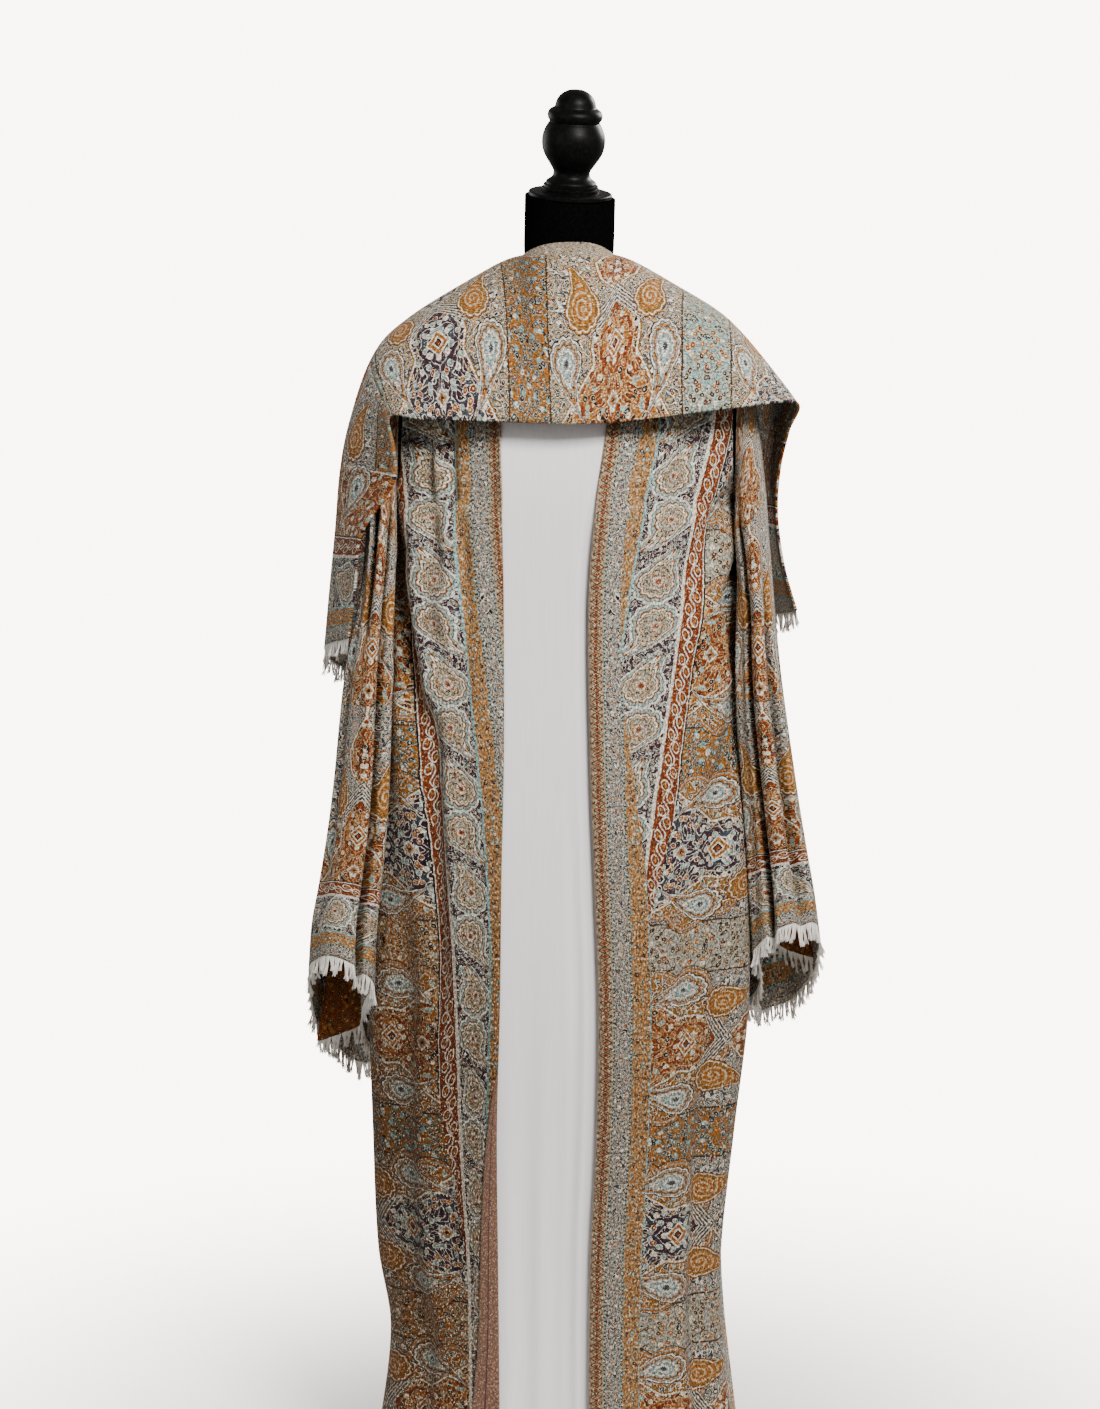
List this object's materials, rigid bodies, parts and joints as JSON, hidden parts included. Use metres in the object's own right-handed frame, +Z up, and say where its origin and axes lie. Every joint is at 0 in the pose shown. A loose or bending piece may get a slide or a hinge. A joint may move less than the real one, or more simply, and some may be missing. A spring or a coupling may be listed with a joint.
{
  "type": "abaya on limbless dress form",
  "caption": "Long open-fronted abaya of woven paisley cloth with fringed sleeves and a matching folded shawl, standing on a limbless dress form.",
  "frame": {"origin": "centre of the underside of the stand's round foot, on the floor", "axes": "+Z up along the pole; the garment's front faces -Y; +X is the wearer's left, the viewer's right"},
  "size_m": [0.6218, 0.3396, 1.6779],
  "materials": {
    "shawl_cloth": "jacquard-woven paisley shawl cloth in pale grey-blue, ochre, rust and aubergine, soft low sheen",
    "grey_crepe": "plain light grey crepe, matt",
    "fringe_yarn": "off-white loose yarn ends",
    "jersey": "matt black stretch jersey",
    "black_wood": "turned wood, satin black lacquer",
    "black_paint": "satin black paint"
  },
  "bodies": {
    "root": {"form_torso": "jersey", "form_finial": "black_wood", "stand_pole": "black_wood", "stand_base": "black_paint", "abaya_back": "shawl_cloth", "front_left": "shawl_cloth", "front_right": "shawl_cloth", "sleeve_left": "shawl_cloth", "sleeve_right": "shawl_cloth", "inner_panel": "grey_crepe", "shawl_chest": "shawl_cloth", "shawl_tail_left": "shawl_cloth", "shawl_tail_right": "shawl_cloth", "cuff_fringe_left": "fringe_yarn", "cuff_fringe_right": "fringe_yarn", "shawl_fringe_left": "fringe_yarn", "shawl_fringe_right": "fringe_yarn"}
  },
  "joints": []
}
